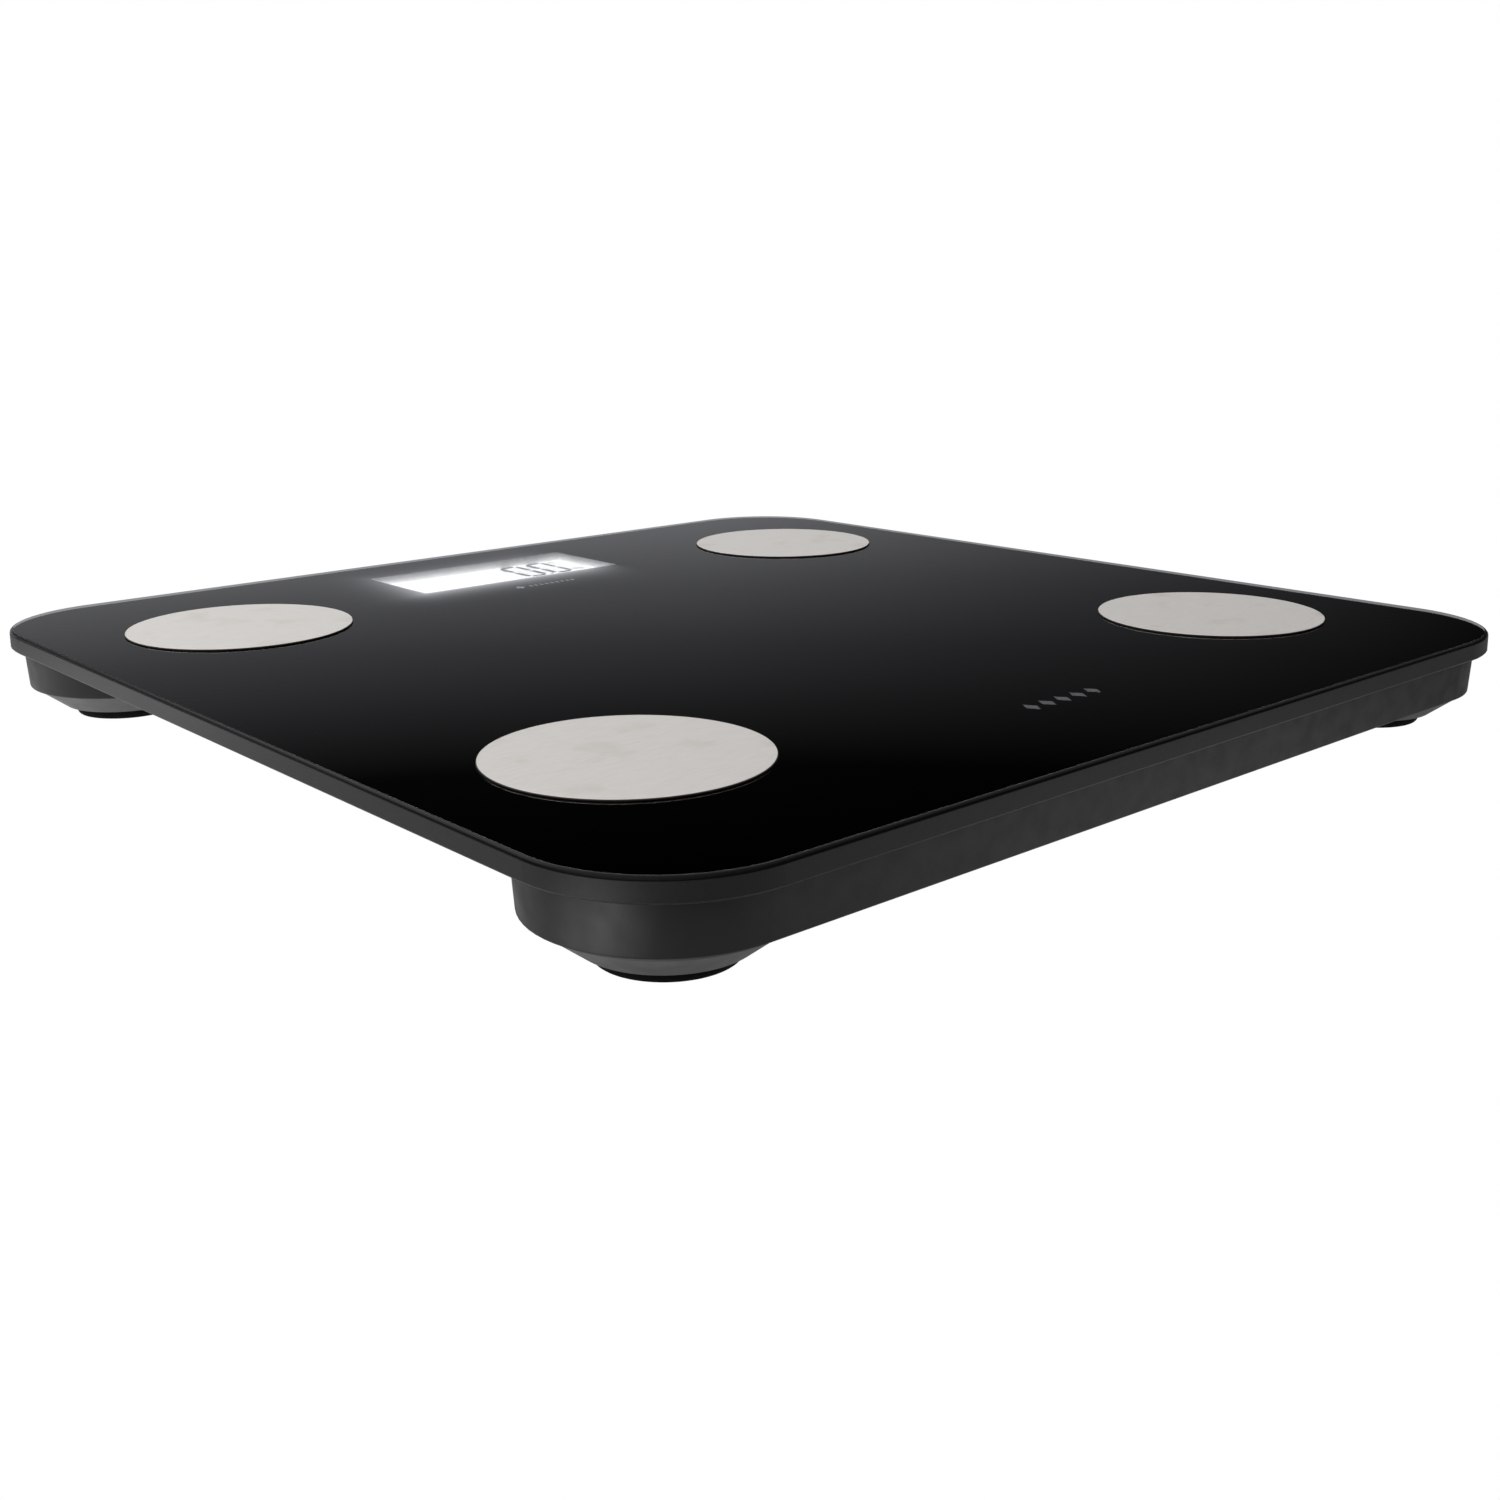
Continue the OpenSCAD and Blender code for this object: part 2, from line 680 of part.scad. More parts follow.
module battery_door() {
  panel_d = bay_d - 0.6;
  tongue_t = door_t - rail_lip - GAP;
  ridge_d = 16;
  color("dimgray") {
    translate([door_x0, bay_y - panel_d / 2, door_z0]) cube([door_len, panel_d, door_t]);
    translate([door_x0, bay_y - rail_y + GAP, door_z1 - tongue_t])
      cube([door_len, 2 * (rail_y - GAP), tongue_t]);
    for (i = [0 : 4]) translate([door_x0 + 3 + 1.6 * i, bay_y - ridge_d / 2, door_z0 - door_ridge_h])
      cube([0.8, ridge_d, door_ridge_h + CUT]);
  }
}

// One dry cell lying along X: its body, and the nub at its positive end
module battery_cell(dy, nub_end) {
  z1 = bay_len / 2 - plate_t;
  z0 = z1 - battery_len;
  can = [for (q = disc_profile(cell_r, battery_len - nub_h, 0.4)) [q.x, q.y + z0]];
  nub = [[nub_r, z1 - nub_h], [nub_r, z1], [0, z1]];
  color("goldenrod") translate([bay_x0 + bay_len / 2, bay_y + dy, battery_z]) rotate([0, nub_end * 90, 0])
    rotate_extrude() polygon(concat([for (i = [0 : 4]) can[i]], nub));
}

module contact_plate(x, y0, y1) {
  translate([x, y0 - plate_w / 2, battery_z - plate_drop])
    cube([plate_t, y1 - y0 + plate_w, plate_z1 - battery_z + plate_drop]);
}

module contact_tab(x, y, z) { translate([x, y - tab_w / 2, z - tab_h / 2]) cube([tab_len, tab_w, tab_h]); }

// Plates at both ends of the bay: two single ones with a tab for a lead, two that join a pair of cells
module contact_plates() {
  x1 = bay_x0 + bay_len - plate_t;
  color("silver") {
    contact_plate(bay_x0, bay_y - battery_pitch, bay_y - battery_pitch);
    contact_tab(bay_x0 + tab_lap - tab_len, bay_y - battery_pitch, low_lead_z);
    contact_plate(bay_x0, bay_y, bay_y + battery_pitch);
    contact_plate(x1, bay_y - battery_pitch, bay_y);
    contact_plate(x1, bay_y + battery_pitch, bay_y + battery_pitch);
    contact_tab(bay_x0 + bay_len - tab_lap, bay_y + battery_pitch, lead_z);
  }
}

// A tapered coil along X, from radius r0 to r1 over length len
module coil(r0, r1, len, turns, wire_r) {
  steps = 16;
  sides = 6;
  n = turns * steps;
  points = [for (i = [0 : n], k = [0 : sides - 1])
    let (a = 360 * i / steps, b = 360 * k / sides, q = r0 + (r1 - r0) * i / n + wire_r * cos(b))
    [wire_r + (len - 2 * wire_r) * i / n + wire_r * sin(b), q * cos(a), q * sin(a)]];
  skin = [for (i = [0 : n - 1], k = [0 : sides - 1])
    let (j = (k + 1) % sides)
    [i * sides + k, (i + 1) * sides + k, (i + 1) * sides + j, i * sides + j]];
  ends = [[for (k = [0 : sides - 1]) k], [for (k = [sides - 1 : -1 : 0]) n * sides + k]];
  polyhedron(points, concat(skin, ends), convexity = 8);
}

module contact_springs() {
  space = bay_len - 2 * plate_t - battery_len;
  color("silver") for (k = [-1, 0, 1]) {
    at_right = abs(k) == 1;
    x = at_right ? bay_x0 + bay_len - plate_t : bay_x0 + plate_t;
    translate([x, bay_y + k * battery_pitch, battery_z]) mirror([at_right ? 1 : 0, 0, 0])
      coil(r0 = 3.2, r1 = 2, len = space, turns = 3, wire_r = 0.3);
  }
}

// ---- Leads ----

// A trough stuck to the underside of the glass, plugged into a notch in each bar
module cable_duct() {
  len = 2 * (bar_end - bar_r + duct_lap);
  color("dimgray") translate([duct_x - duct_w / 2, -len / 2, ceiling_z - duct_h]) difference() {
    cube([duct_w, len, duct_h]);
    translate([duct_wall, -CUT, duct_wall]) cube([duct_w - 2 * duct_wall, len + 2 * CUT, duct_h]);
  }
}

// Where the leads leave each gauge
gauge_edge_x = foot_x - gauge_size.x / 2;
gauge_row_y = foot_y + gauge_y;

// A lead's route in the front bar, from its start along the bar to x and back through the duct to the board
function front_route(start, x) = [start, [x, start.y], [x, front_plug_y]];

// A lead's route in the rear bar, from its start to its lane, along the lane and forward to the board
function rear_route(start, lane) = concat(
  [start], lane.x == start.x ? [] : [[lane.x, start.y]],
  [[lane.x, foot_y + lane.y], [lane.z, foot_y + lane.y], [lane.z, rear_plug_y]]);

module front_cell_leads() {
  color("red") for (s = [-1, 1])
    lead_group(front_route([s * gauge_edge_x, -gauge_row_y], duct_x + s * 3 * lead_pitch), lead_z, 3);
}

module rear_cell_leads() {
  color("red") {
    lead_group(rear_route([-gauge_edge_x, gauge_row_y], left_cell_lane), lead_z, 3);
    lead_group(rear_route([gauge_edge_x, gauge_row_y], right_cell_lane), lead_z, 3);
  }
}

module electrode_leads() {
  lug_x = stud_x - lug_reach;
  color("black") {
    for (s = [-1, 1]) lead(front_route([s * lug_x, -stud_y], duct_x + s * lead_pitch), high_lead_z);
    lead(rear_route([-lug_x, stud_y], left_electrode_lane), high_lead_z);
    lead(rear_route([lug_x, stud_y], right_electrode_lane), high_lead_z);
  }
}

module battery_leads() {
  color("red") lead(rear_route([plus_lane.x, bay_y - battery_pitch], plus_lane), low_lead_z);
  color("black") lead(rear_route([minus_lane.x, bay_y + battery_pitch], minus_lane), lead_z);
}

glass_platform();
back_print();
electrode(FRONT_LEFT);  // electrode_front_left
electrode(FRONT_RIGHT);  // electrode_front_right
electrode(REAR_LEFT);  // electrode_rear_left
electrode(REAR_RIGHT);  // electrode_rear_right
electrode_adhesive();
electrode_terminals();
electrode_nuts();
front_bar();
rear_bar();
bar_seal(-1);  // front_bar_seal
bar_seal(1);  // rear_bar_seal
foot_collar(FRONT_LEFT);  // foot_collar_front_left
foot_collar(FRONT_RIGHT);  // foot_collar_front_right
foot_collar(REAR_LEFT);  // foot_collar_rear_left
foot_collar(REAR_RIGHT);  // foot_collar_rear_right
foot_cap(FRONT_LEFT);  // foot_cap_front_left
foot_cap(FRONT_RIGHT);  // foot_cap_front_right
foot_cap(REAR_LEFT);  // foot_cap_rear_left
foot_cap(REAR_RIGHT);  // foot_cap_rear_right
foot_pad(FRONT_LEFT);  // foot_pad_front_left
foot_pad(FRONT_RIGHT);  // foot_pad_front_right
foot_pad(REAR_LEFT);  // foot_pad_rear_left
foot_pad(REAR_RIGHT);  // foot_pad_rear_right
load_cell(FRONT_LEFT);  // load_cell_front_left
load_cell(FRONT_RIGHT);  // load_cell_front_right
load_cell(REAR_LEFT);  // load_cell_rear_left
load_cell(REAR_RIGHT);  // load_cell_rear_right
cell_holder(FRONT_LEFT);  // cell_holder_front_left
cell_holder(FRONT_RIGHT);  // cell_holder_front_right
cell_holder(REAR_LEFT);  // cell_holder_rear_left
cell_holder(REAR_RIGHT);  // cell_holder_rear_right
strain_gauges();
light_frame();
lcd_panel();
light_guide();
reflector();
led_bar();
display_flex();
main_board();
board_chips();
wireless_module();
board_capacitors();
board_connectors();
board_screws();
tact_switch();
tact_plunger();
unit_button();
battery_door();
battery_cell(-battery_pitch, -1);  // battery_cell_front
battery_cell(0, 1);  // battery_cell_middle
battery_cell(battery_pitch, -1);  // battery_cell_rear
contact_plates();
contact_springs();
cable_duct();
front_cell_leads();
rear_cell_leads();
electrode_leads();
battery_leads();
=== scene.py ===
"""Looks of the digital bathroom scale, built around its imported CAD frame.

Everything is in metres, in the frame of the CAD: Z up, the origin on the floor under the middle of the
platform, +Y towards the edge with the display. Sizes are written in millimetres times MM.
"""

import json
import math

import bmesh
import bpy
from mathutils import Matrix, Vector


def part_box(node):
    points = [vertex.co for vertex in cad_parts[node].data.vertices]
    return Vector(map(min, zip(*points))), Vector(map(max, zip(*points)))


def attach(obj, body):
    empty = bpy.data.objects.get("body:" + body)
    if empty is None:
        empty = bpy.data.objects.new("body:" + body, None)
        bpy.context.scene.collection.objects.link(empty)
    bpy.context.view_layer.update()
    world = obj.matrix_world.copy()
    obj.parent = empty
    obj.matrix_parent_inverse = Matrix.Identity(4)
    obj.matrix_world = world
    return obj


MM = 0.001
CORNERS = ("front_left", "front_right", "rear_left", "rear_right")

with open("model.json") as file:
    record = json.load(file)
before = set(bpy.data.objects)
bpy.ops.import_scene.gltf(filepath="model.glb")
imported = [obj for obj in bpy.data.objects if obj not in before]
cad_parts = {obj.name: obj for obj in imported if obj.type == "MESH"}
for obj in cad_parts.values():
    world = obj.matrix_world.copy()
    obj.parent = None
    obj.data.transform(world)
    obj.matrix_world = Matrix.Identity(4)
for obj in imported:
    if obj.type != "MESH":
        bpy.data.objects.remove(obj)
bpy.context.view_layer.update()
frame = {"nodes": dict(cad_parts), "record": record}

GLASS_LOW, GLASS_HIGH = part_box("glass_platform")
LCD_LOW, LCD_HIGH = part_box("lcd_panel")
DISC_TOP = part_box("electrode_front_left")[1].z

# The clear window in the black print, which CAD cuts to these sizes
WINDOW_SIZE = (72.4 * MM, 34 * MM)
WINDOW_CENTRE = (0.0, 115 * MM)

# The painted glow that stands for the display's light leaking into the print round the window: its strength,
# how far it takes to fade to about a third, and the length over which it dies out at the window's right end
GLOW = 0.68
GLOW_REACH = 5.0 * MM
GLOW_END = 14 * MM

# The painted glow that stands for the light the ground edge passes on into the glass, the colour of both
# painted glows, and the display's colour
EDGE_GLOW = 0.3
GLOW_COLOUR = (0.95, 0.96, 1.0)
BACKLIGHT = (0.97, 0.98, 1.0)


# ---- Shaders ----


class Shader:
    """A Principled material and the small node graphs that feed it.

    A value is a number, a colour or a socket.
    """

    def __init__(self, name, **inputs):
        self.material = bpy.data.materials.new(name)
        self.material.use_nodes = True
        self.nodes = self.material.node_tree.nodes
        self.links = self.material.node_tree.links
        self.principled = self.nodes["Principled BSDF"]
        self.place = self.node("ShaderNodeTexCoord").outputs["Object"]
        self.set(**inputs)

    def set(self, **inputs):
        """Feeds the shader's inputs, named with _ for each space and without regard to case."""
        sockets = {s.name.lower().replace(" ", "_"): s for s in self.principled.inputs}
        for name, value in inputs.items():
            self.feed(sockets[name], value)

    def node(self, kind, **settings):
        made = self.nodes.new(kind)
        for key, value in settings.items():
            setattr(made, key, value)
        return made

    def feed(self, socket, value):
        if isinstance(value, bpy.types.NodeSocket):
            self.links.new(value, socket)
        elif socket.type == "RGBA":
            socket.default_value = (*value, 1)
        else:
            socket.default_value = value

    def math(self, operation, *values, clamp=False):
        made = self.node("ShaderNodeMath", operation=operation, use_clamp=clamp)
        for socket, value in zip(made.inputs, values):
            self.feed(socket, value)
        return made.outputs[0]

    def axis(self, index):
        """The place along X, Y or Z."""
        split = self.node("ShaderNodeSeparateXYZ")
        self.feed(split.inputs[0], self.place)
        return split.outputs[index]

    def noise(self, size, stretch=(1, 1, 1), detail=2.0, seed=0.0):
        """Noise about 0.5, in blobs of about that size, drawn out along the axes by stretch."""
        mapping = self.node("ShaderNodeMapping")
        self.feed(mapping.inputs["Vector"], self.place)
        mapping.inputs["Location"].default_value = (seed, 2 * seed, 3 * seed)
        mapping.inputs["Scale"].default_value = [1 / (size * s) for s in stretch]
        made = self.node("ShaderNodeTexNoise")
        self.feed(made.inputs["Vector"], mapping.outputs[0])
        made.inputs["Scale"].default_value = 1.0
        made.inputs["Detail"].default_value = detail
        return made.outputs[0]

    def cells(self, size, seed=0.0):
        """The distance to the nearest of many scattered points, from 0 to about 1."""
        mapping = self.node("ShaderNodeMapping")
        self.feed(mapping.inputs["Vector"], self.place)
        mapping.inputs["Location"].default_value = (seed, 2 * seed, 3 * seed)
        mapping.inputs["Scale"].default_value = [1 / size] * 3
        made = self.node("ShaderNodeTexVoronoi")
        self.feed(made.inputs["Vector"], mapping.outputs[0])
        made.inputs["Scale"].default_value = 1.0
        return made.outputs["Distance"]

    def spread(self, value, low, high, start=0.35, end=0.65):
        """Spreads value, from start to end, over low to high, and holds it there outside."""
        made = self.node("ShaderNodeMapRange")
        for socket, number in zip(made.inputs, (value, start, end, low, high)):
            self.feed(socket, number)
        return made.outputs[0]

    def blend(self, factor, a, b):
        """Colour a at factor 0, colour b at 1."""
        made = self.node("ShaderNodeMix", data_type="RGBA")
        for index, value in ((0, factor), (6, a), (7, b)):
            self.feed(made.inputs[index], value)
        return made.outputs[2]

    def bump(self, height, depth):
        """Raises the surface by height times depth."""
        made = self.node("ShaderNodeBump")
        self.feed(made.inputs["Height"], height)
        made.inputs["Distance"].default_value = depth
        self.links.new(made.outputs[0], self.principled.inputs["Normal"])

    def inside_box(self, centre, size, edge=0.02 * MM):
        """1 inside an upright rectangle, 0 outside it, and how far outside it a place is."""
        gaps = []
        for index in (0, 1):
            offset = self.math("ABSOLUTE", self.math("SUBTRACT", self.axis(index), centre[index]))
            gaps.append(self.math("SUBTRACT", offset, size[index] / 2))
        nearest = self.math("MAXIMUM", *gaps)
        outside = [self.math("MAXIMUM", gap, 0.0) for gap in gaps]
        squares = [self.math("MULTIPLY", gap, gap) for gap in outside]
        distance = self.math("SQRT", self.math("ADD", *squares))
        return self.spread(nearest, 1.0, 0.0, -edge, edge), distance

    def painted_window_glow(self, gap):
        """How strongly the print there is painted to glow with the display's light, mostly at the window's
        near edge.
        """
        reach = [size / 2 for size in WINDOW_SIZE]
        near = self.spread(self.axis(1), 1.0, 0.2, WINDOW_CENTRE[1] - reach[1], WINDOW_CENTRE[1] + reach[1])
        left = self.spread(self.axis(0), 1.0, 0.0, reach[0] - GLOW_END, reach[0])
        leak = self.math("EXPONENT", self.math("MULTIPLY", gap, -1 / GLOW_REACH))
        return self.math("MULTIPLY", self.math("MULTIPLY", near, left), self.math("MULTIPLY", leak, GLOW))


def shade(colour, factor):
    return tuple(min(1.0, channel * factor) for channel in colour)


def moulded(name, colour, roughness=0.5, grain=0.3 * MM, depth=0.012 * MM, mottle=0.08, **inputs):
    """Moulded plastic or rubber: an even colour, the mould's fine sparked grain, faint handling marks."""
    s = Shader(name, **inputs)
    tone = s.spread(s.noise(18 * MM, detail=3), 0.0, 1.0)
    s.set(base_color=s.blend(tone, shade(colour, 1 - mottle), shade(colour, 1 + mottle)))
    s.set(roughness=s.spread(s.noise(5 * MM, detail=4, seed=3.1), roughness - 0.05, roughness + 0.06))
    s.bump(s.math("ADD", s.noise(grain, detail=1), s.math("MULTIPLY", s.cells(2.2 * grain), 0.5)), depth)
    return s.material


def drawn_metal(name, colour, roughness=0.35, stretch=(30, 1, 1), line=0.12 * MM, depth=0.002 * MM, **inputs):
    """Rolled or brushed metal: fine lines along one axis, with a slow change of tone across the sheet."""
    s = Shader(name, metallic=1.0, **inputs)
    lines = s.noise(line, stretch=stretch, detail=3)
    tone = s.math("ADD", s.math("MULTIPLY", lines, 0.5), s.math("MULTIPLY", s.noise(14 * MM, seed=5.2), 0.5))
    s.set(base_color=s.blend(s.spread(tone, 0.0, 1.0), shade(colour, 0.93), shade(colour, 1.06)))
    s.set(roughness=s.spread(lines, roughness - 0.06, roughness + 0.08))
    s.bump(lines, depth)
    return s.material


# ---- Materials, one for each slot of the record ----


def clear_glass():
    """Tempered glass with polished faces and ground edges.

    Its underside shows the black enamel fired onto it.
    """
    s = Shader("clear_glass", ior=1.52)
    z = s.axis(2)
    skin = 0.02 * MM
    arris = 0.85 * MM
    soft = 0.1 * MM
    under = s.spread(z, 1.0, 0.0, GLASS_LOW.z + skin, GLASS_LOW.z + 2 * skin)
    below_top = s.spread(z, 1.0, 0.0, GLASS_HIGH.z - 0.2 * skin, GLASS_HIGH.z - 0.1 * skin)
    edge = s.math("SUBTRACT", below_top, under, clamp=True)
    in_window, gap = s.inside_box(WINDOW_CENTRE, WINDOW_SIZE)
    printed = s.math("MULTIPLY", under, s.math("SUBTRACT", 1.0, in_window))

    # The ground edge is dull dark green-grey. Its arris is blacker and smoother, with a few fine nicks
    rim = s.spread(z, 0.0, 1.0, GLASS_HIGH.z - arris - soft, GLASS_HIGH.z - arris + soft)
    nicks = s.spread(s.noise(0.7 * MM, detail=3), 0.75, 1.1)
    ground = s.spread(s.noise(0.25 * MM, stretch=(1, 1, 0.6), detail=2, seed=2.0), 0.85, 1.15)
    wall = s.blend(rim, (0.0075, 0.0085, 0.0083), (0.0035, 0.0036, 0.0038))
    wall = s.blend(s.math("MULTIPLY", ground, nicks), (0.0, 0.0, 0.0), wall)
    body = s.blend(printed, (0.95, 0.965, 0.96), (0.0015, 0.0015, 0.0018))
    s.set(base_color=s.blend(edge, body, wall))

    opaque = s.math("MAXIMUM", printed, s.math("MULTIPLY", edge, s.spread(rim, 0.65, 1.0, 0.0, 1.0)))
    s.set(transmission_weight=s.math("SUBTRACT", 1.0, opaque))
    polish = s.spread(s.noise(22 * MM, detail=5, seed=1.3), 0.010, 0.030)
    s.set(roughness=s.math("ADD", polish, s.math("MULTIPLY", edge, s.spread(rim, 0.40, 0.22, 0.0, 1.0))))
    dull = s.math("MAXIMUM", printed, s.math("MULTIPLY", s.math("MULTIPLY", edge, rim), 0.9))
    s.set(specular_ior_level=s.math("MULTIPLY", s.math("SUBTRACT", 1.0, dull), 0.5))

    # Seen from inside, the far ground edge gets a painted glow for the room's light that comes through it
    inner = s.math("MULTIPLY", s.node("ShaderNodeNewGeometry").outputs["Backfacing"], edge)
    lit = s.math("MULTIPLY", s.math("MULTIPLY", inner, s.math("SUBTRACT", 1.0, rim)), EDGE_GLOW)
    # Painted glow: the printed underside round the window glows with the display's light
    glow = s.math("MULTIPLY", printed, s.painted_window_glow(gap))
    s.set(emission_color=GLOW_COLOUR, emission_strength=s.math("ADD", glow, lit))
    s.bump(s.math("MULTIPLY", s.noise(0.3 * MM, detail=2), edge), 0.01 * MM)
    return s.material


def black_print():
    """Fired enamel seen from below: black with the faint screen-print weave."""
    s = Shader("black_print", specular_ior_level=0.45)
    weave = s.math("MULTIPLY", *[
        s.math("SINE", s.math("MULTIPLY", s.axis(i), math.tau / (0.35 * MM))) for i in (0, 1)
    ])
    tone = s.spread(s.noise(25 * MM, detail=4), 0.0, 1.0)
    s.set(base_color=s.blend(tone, (0.0035, 0.0035, 0.004), (0.0075, 0.0075, 0.008)))
    s.set(roughness=s.spread(s.noise(6 * MM, detail=3, seed=4.0), 0.30, 0.42))
    # Painted glow: the print's upper face glows round the window with the display's light
    top = s.spread(s.axis(2), 0.0, 1.0, GLASS_LOW.z - 0.02 * MM, GLASS_LOW.z - 0.01 * MM)
    glow = s.painted_window_glow(s.inside_box(WINDOW_CENTRE, WINDOW_SIZE)[1])
    s.set(emission_color=GLOW_COLOUR, emission_strength=s.math("MULTIPLY", top, glow))
    s.bump(weave, 0.003 * MM)
    return s.material


def electrode_steel():
    """Stainless steel, bead-blasted and brushed, with faint warm finger marks and painted shade on its thin
    side.
    """
    s = Shader("electrode_steel", metallic=1.0)
    lines = s.noise(0.16 * MM, stretch=(24, 1, 1), detail=3)
    grain = s.noise(0.22 * MM, detail=2, seed=7.0)
    tone = s.spread(s.math("ADD", s.math("MULTIPLY", lines, 0.6), s.math("MULTIPLY", grain, 0.4)), 0.0, 1.0)
    steel = s.blend(tone, (0.49, 0.481, 0.472), (0.57, 0.561, 0.552))
    marks = s.spread(s.noise(11 * MM, detail=4, seed=9.0), 0.0, 0.5, 0.58, 0.72)
    face = s.blend(marks, steel, (0.45, 0.42, 0.385))
    # Painted shade: the disc's thin side is coloured near black
    side = s.spread(s.axis(2), 1.0, 0.0, DISC_TOP - 0.06 * MM, DISC_TOP - 0.03 * MM)
    s.set(base_color=s.blend(side, face, (0.035, 0.030, 0.028)))
    s.set(roughness=s.spread(grain, 0.50, 0.60))
    s.bump(s.math("ADD", lines, grain), 0.003 * MM)
    return s.material


def pad_rubber():
    """Non-slip rubber, with fine round grooves under the pads."""
    s = Shader("pad_rubber", specular_ior_level=0.12)
    pads = [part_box("foot_pad_" + corner) for corner in CORNERS]
    middle = abs(pads[0][0].x + pads[0][1].x) / 2
    across = [s.math("SUBTRACT", s.math("ABSOLUTE", s.axis(i)), middle) for i in (0, 1)]
    radius = s.math("SQRT", s.math("ADD", *[s.math("MULTIPLY", a, a) for a in across]))
    grooves = s.math("SINE", s.math("MULTIPLY", radius, math.tau / (1.3 * MM)))
    low = s.spread(s.axis(2), 1.0, 0.0, 0.3 * MM, 0.9 * MM)
    tone = s.spread(s.noise(4 * MM, detail=4), 0.0, 1.0)
    s.set(base_color=s.blend(tone, (0.004, 0.004, 0.004), (0.007, 0.007, 0.007)))
    s.set(roughness=s.spread(s.noise(2 * MM, detail=3, seed=1.0), 0.62, 0.78))
    grain = s.math("MULTIPLY", s.noise(0.3 * MM, detail=2), 0.15)
    s.bump(s.math("ADD", grain, s.math("MULTIPLY", grooves, low)), 0.05 * MM)
    return s.material


def lcd_glass():
    """The liquid-crystal panel, lit from behind by the light guide, a little brighter towards its lamps."""
    s = Shader("lcd_glass", base_color=(0.42, 0.43, 0.45), roughness=0.18, emission_color=BACKLIGHT)
    across = s.spread(s.axis(0), 1.08, 0.94, LCD_LOW.x, LCD_HIGH.x)
    cloud = s.spread(s.noise(9 * MM, detail=3), 0.97, 1.03)
    s.set(emission_strength=s.math("MULTIPLY", s.math("MULTIPLY", across, cloud), 1.95))
    return s.material


def frame_white():
    """White plastic with a painted glow where the light guide's edge shines into it, and painted shade that
    greys it away from there.
    """
    s = Shader("white_plastic")
    # Painted light and shade: lighter and glowing next to the display, greyer higher up
    above = s.math("SUBTRACT", s.axis(2), LCD_HIGH.z)
    fade = s.spread(above, 1.0, 0.0, 0.0, GLASS_LOW.z - LCD_HIGH.z)
    tone = s.spread(s.noise(16 * MM, detail=3), 0.97, 1.03)
    s.set(base_color=s.blend(s.math("MULTIPLY", fade, tone), (0.28, 0.28, 0.28), (0.83, 0.83, 0.82)))
    s.set(roughness=s.spread(s.noise(4 * MM, detail=4, seed=6.0), 0.48, 0.60))
    lit = s.math("MULTIPLY", s.math("GREATER_THAN", above, 0.0), s.math("MULTIPLY", fade, fade))
    s.set(emission_color=BACKLIGHT, emission_strength=s.math("MULTIPLY", lit, 0.9))
    s.bump(s.noise(0.3 * MM, detail=2), 0.01 * MM)
    return s.material


def print_marks():
    """Grey screen ink, painted paler towards the window as painted light from the display."""
    s = Shader("print_marks", roughness=0.4)
    # Painted light: the ink gets paler from the middle to 50 mm towards the window
    lit = s.spread(s.axis(1), 0.0, 1.0, 0.0, 50 * MM)
    ink = s.blend(lit, (0.19, 0.20, 0.213), (0.55, 0.56, 0.60))
    speckle = s.spread(s.noise(0.35 * MM, detail=2), 0.0, 0.15)
    s.set(base_color=s.blend(speckle, ink, (0.02, 0.02, 0.02)))
    s.bump(speckle, 0.001 * MM)
    return s.material


def board_green():
    """Solder mask over a grid of fine copper tracks."""
    s = Shader("board_green", coat_weight=0.4)
    along = s.axis(0)
    waver = s.math("MULTIPLY", s.noise(6 * MM), 4 * MM)
    across = s.math("PINGPONG", s.math("ADD", along, waver), 0.6 * MM)
    tracks = s.spread(across, 0.0, 1.0, 0.28 * MM, 0.34 * MM)
    s.set(base_color=s.blend(tracks, (0.010, 0.10, 0.035), (0.022, 0.19, 0.07)), roughness=0.32)
    s.bump(tracks, 0.02 * MM)
    return s.material


def battery_sleeve():
    """A dry cell's printed sleeve: copper over a third of its length, then black, with bare steel ends."""
    low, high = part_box("battery_cell_middle")
    length = high.x - low.x
    end = 0.9 * MM
    s = Shader("battery_sleeve", coat_weight=0.3)
    x = s.axis(0)
    copper = s.spread(x, 0.0, 1.0, low.x + 0.62 * length, low.x + 0.63 * length)
    sleeve = s.blend(copper, (0.012, 0.012, 0.013), (0.62, 0.30, 0.12))
    from_end = s.math("MINIMUM", s.math("SUBTRACT", x, low.x), s.math("SUBTRACT", high.x, x))
    bare = s.spread(from_end, 1.0, 0.0, end, end + 0.05 * MM)
    s.set(base_color=s.blend(bare, sleeve, (0.70, 0.70, 0.69)))
    s.set(metallic=s.math("MAXIMUM", bare, s.math("MULTIPLY", copper, 0.9)))
    s.set(roughness=s.spread(s.noise(3 * MM, detail=3), 0.24, 0.34))
    return s.material


CHARCOAL = (0.009, 0.0092, 0.0098)

